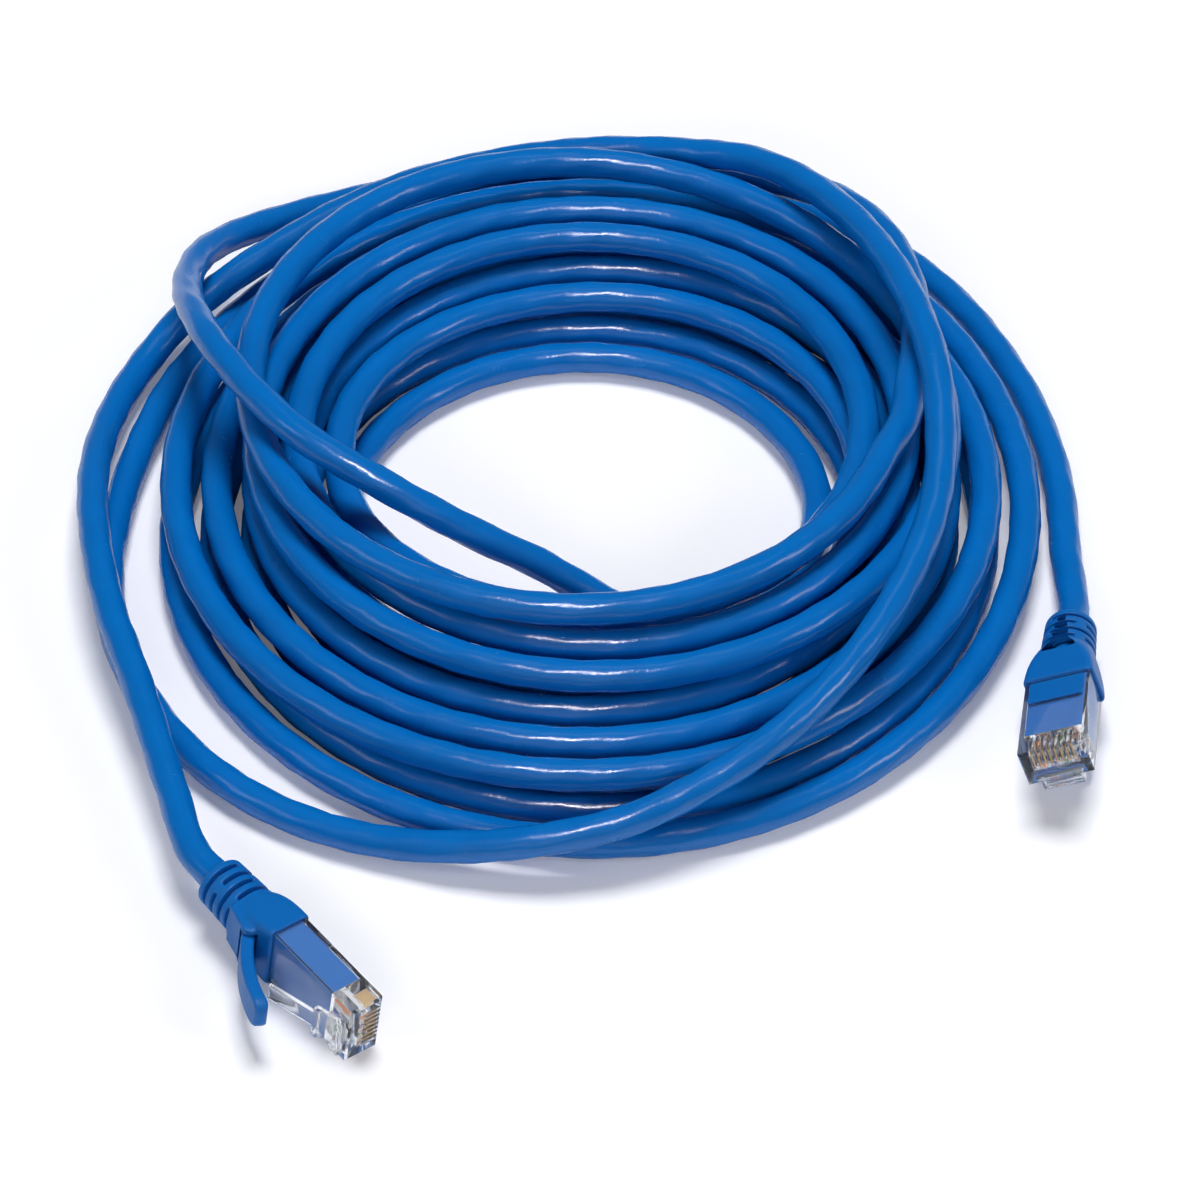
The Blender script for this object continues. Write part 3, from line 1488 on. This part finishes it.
@dataclass(frozen=True)
class Softbox:
    """A soft rectangular lamp aimed at the middle of the coil.

    Angles are degrees and sizes metres. The lamp itself isn't seen through clear
    plastic, which lets its light pass.

    Attributes:
        lights: Whether it lights what isn't shiny.
        mirrored: Whether shiny surfaces mirror it.
    """

    name: str
    azimuth: float
    elevation: float
    distance: float
    width: float
    height: float
    power: float
    colour: Colour = (1.0, 1.0, 1.0)
    lights: bool = True
    mirrored: bool = True


def aim(piece: Piece, at: Vector) -> None:
    """Turns a lamp or camera so that it looks at a point."""
    piece.rotation_euler = (at - piece.location).to_track_quat("-Z", "Y").to_euler()


@dataclass
class Studio:
    """Floor, lamps, world and camera, in metres and degrees."""

    middle: Point
    lens: float = 149.4
    distance: float = 0.9
    elevation: float = 45.0
    aim_down: float = 0.978
    aim_right: float = 0.115
    floor_size: float = 6.0
    floor_colours: tuple[Colour, Colour] = ((0.93, 0.93, 0.95), (0.95, 0.95, 0.965))
    floor_glow: Colour = (0.86, 0.88, 1.0)
    glow_reach: Span = (0.3, 1.6)
    glow_power: Span = (0.13, 0.9)
    room_colour: Colour = (0.93, 0.94, 1.0)
    room_rise: Span = (0.05, 0.6)
    room_power: Span = (0.12, 0.06)
    lamps: tuple[Softbox, ...] = (
        Softbox("overhead", 85, 72, 1.5, 0.6, 0.5, 17.4, mirrored=False),
        Softbox("glint", 262, 70, 1.5, 0.3, 0.19, 14.0, (1.0, 0.95, 0.99), lights=False),
        Softbox("front_fill", 262, 30, 1.5, 0.8, 0.5, 5.6, mirrored=False),
        Softbox("right_side", -20, 34, 1.6, 0.27, 0.38, 3.3, (1.0, 0.97, 1.0)),
        Softbox("left_side", 200, 40, 1.7, 0.5, 0.5, 2.0),
    )

    def build_camera(self) -> None:
        """Makes the camera at the viewing angle."""
        data = bpy.data.cameras.new("camera")
        data.lens = self.lens
        camera = new_object("camera", data)
        up = math.radians(self.elevation)
        middle = Vector(self.middle)
        camera.location = middle + self.distance * Vector((0, -math.cos(up), math.sin(up)))
        down = math.radians(self.elevation + self.aim_down)
        right = math.radians(self.aim_right)
        look = Vector((math.sin(right), math.cos(right) * math.cos(down), -math.sin(down)))
        aim(camera, camera.location + look)
        bpy.context.scene.camera = camera

    def build_lamps(self) -> None:
        """Makes the softboxes."""
        middle = Vector(self.middle)
        for box in self.lamps:
            data = bpy.data.lights.new(box.name, "AREA")
            data.shape = "RECTANGLE"
            data.size, data.size_y = box.width, box.height
            data.energy = box.power
            data.color = box.colour
            lamp = new_object(box.name, data)
            lamp.visible_diffuse = box.lights
            lamp.visible_glossy = box.mirrored
            lamp.visible_transmission = False
            turn, up = math.radians(box.azimuth), math.radians(box.elevation)
            away = Vector((math.cos(turn) * math.cos(up), math.sin(turn) * math.cos(up), math.sin(up)))
            lamp.location = middle + box.distance * away
            aim(lamp, middle)

    def build_world(self) -> None:
        """White towards the camera and through clear plastic, and a soft room for the rest.

        The room is brighter near the horizon than overhead.
        """
        world = bpy.data.worlds.new("studio")
        bpy.context.scene.world = world
        world.use_nodes = True
        sheet = Sheet(world.node_tree)
        where = sheet.add("ShaderNodeTexCoord").outputs["Generated"]
        up = sheet.add("ShaderNodeSeparateXYZ", Vector=where).outputs["Z"]
        room = sheet.span(up, self.room_rise, self.room_power)
        path = sheet.add("ShaderNodeLightPath").outputs
        direct = sheet.math("LESS_THAN", path["Diffuse Depth"], 0.5)
        inside = sheet.math("GREATER_THAN", path["Transmission Depth"], 0.5)
        mirrored = sheet.times(path["Is Glossy Ray"], inside)
        passed = sheet.math("MAXIMUM", path["Is Transmission Ray"], mirrored)
        seen = sheet.math("MAXIMUM", path["Is Camera Ray"], sheet.times(passed, direct))
        strength = sheet.add("ShaderNodeMix", Factor=seen, i2=room, i3=1.0).outputs[0]
        sheet.feed(sheet.tree.nodes["Background"], Color=(*self.room_colour, 1.0), Strength=strength)

    def build_floor(self) -> None:
        """A plain pale floor that keeps the shadows, and glows more the further away."""
        half = self.floor_size / 2
        corners = [(-half, -half, 0), (half, -half, 0), (half, half, 0), (-half, half, 0)]
        mesh = mesh_from("floor", np.array(corners), [(0, 1, 2, 3)])
        floor = new_object("floor", mesh)
        material, sheet, shader = new_surface("pale_floor")
        where = sheet.add("ShaderNodeTexCoord").outputs["Object"]
        mottle = sheet.noise(where, scale=14.0, detail=3.0)
        away = sheet.add("ShaderNodeVectorMath", {"operation": "LENGTH"}, Vector=where)
        far = sheet.span(away.outputs["Value"], self.glow_reach, self.glow_power)
        path = sheet.add("ShaderNodeLightPath").outputs
        sheet.feed(
            shader,
            Base_Color=sheet.blend(mottle, *self.floor_colours),
            Roughness=0.75,
            Specular_IOR_Level=0.2,
            Emission_Color=(*self.floor_glow, 1.0),
            Emission_Strength=sheet.times(path["Is Camera Ray"], far),
        )
        mesh.materials.append(material)

    def build(self) -> None:
        """Builds the whole studio."""
        bpy.context.scene.view_settings.view_transform = "Standard"
        self.build_camera()
        self.build_lamps()
        self.build_world()
        self.build_floor()


def main() -> None:
    """Builds the cable and its studio."""
    logging.basicConfig(level=logging.INFO, format="%(message)s")
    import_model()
    moulded_group()
    route = Route()
    studio = Studio(middle=tuple(c * MM for c in route.middle))
    studio.build()
    nose_a, turn_a = (-39.3, -126.4, 6.7), (-98, 2.3, -50.8)
    nose_b, turn_b = (79.7, -73.3, 10), (23, -11, -98.5)
    plugs = [
        Plug(End.A, nose_a, turn_a, pressed=0.0, origin=route.middle),
        Plug(End.B, nose_b, turn_b, pressed=15.0, origin=route.middle),
    ]
    line = route.line(plugs[0].entry, plugs[1].entry, Cord.ring_step)
    cord = Cord(route).build(line, finished(JACKET))
    LOG.info("%s: %d faces, %d rings", cord.name, len(cord.data.polygons), len(line))
    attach(cord, "cable")
    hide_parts("coil", "lead_a", "lead_b")
    pieces = {plug.end: plug.build() for plug in plugs}


if __name__ == "__main__":
    main()
